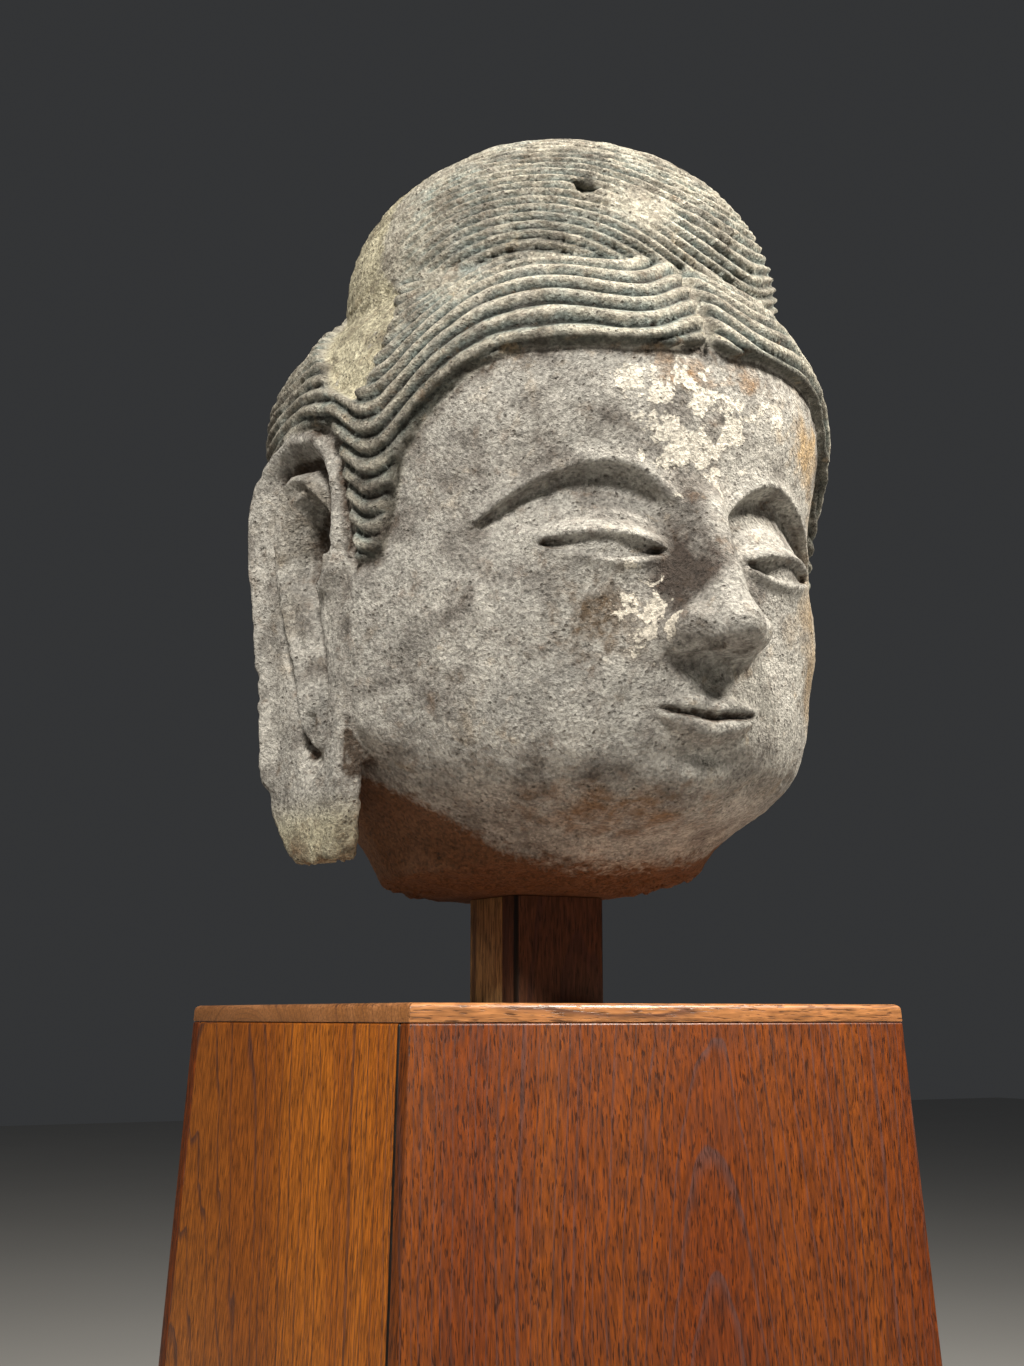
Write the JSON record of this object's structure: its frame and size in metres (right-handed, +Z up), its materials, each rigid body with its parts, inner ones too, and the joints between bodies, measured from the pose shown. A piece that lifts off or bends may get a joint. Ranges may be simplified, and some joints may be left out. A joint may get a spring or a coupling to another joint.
{
  "type": "stone buddha head on a wooden plinth",
  "caption": "Carved stone Buddha head with waved hair and a domed crown, broken off at the neck, resting on a square wooden post on a tapered, hollow teak plinth.",
  "frame": {"origin": "middle of the whole object's box, on the floor; the plinth's own axis is 37 mm behind it, because the face reaches out in front of the plinth", "axes": "+Z up, the face towards -Y, the head's own left towards +X"},
  "size_m": [0.6008, 0.6748, 1.7384],
  "materials": {
    "carved_stone": "weathered carved sandstone, matt and granular, with old blue-green and cream paint and orange earth stains",
    "post_wood": "brown hardwood with a thin wax finish",
    "teak_board": "oiled solid teak, satin",
    "teak_panel": "oiled teak with straight and cathedral grain, satin"
  },
  "bodies": {
    "root": {"stone_head": "carved_stone", "post_front_board": "post_wood", "post_rear_block": "post_wood", "plinth_top_board": "teak_board", "plinth_front_panel": "teak_panel", "plinth_back_panel": "teak_panel", "plinth_right_panel": "teak_panel", "plinth_left_panel": "teak_panel"}
  },
  "joints": []
}
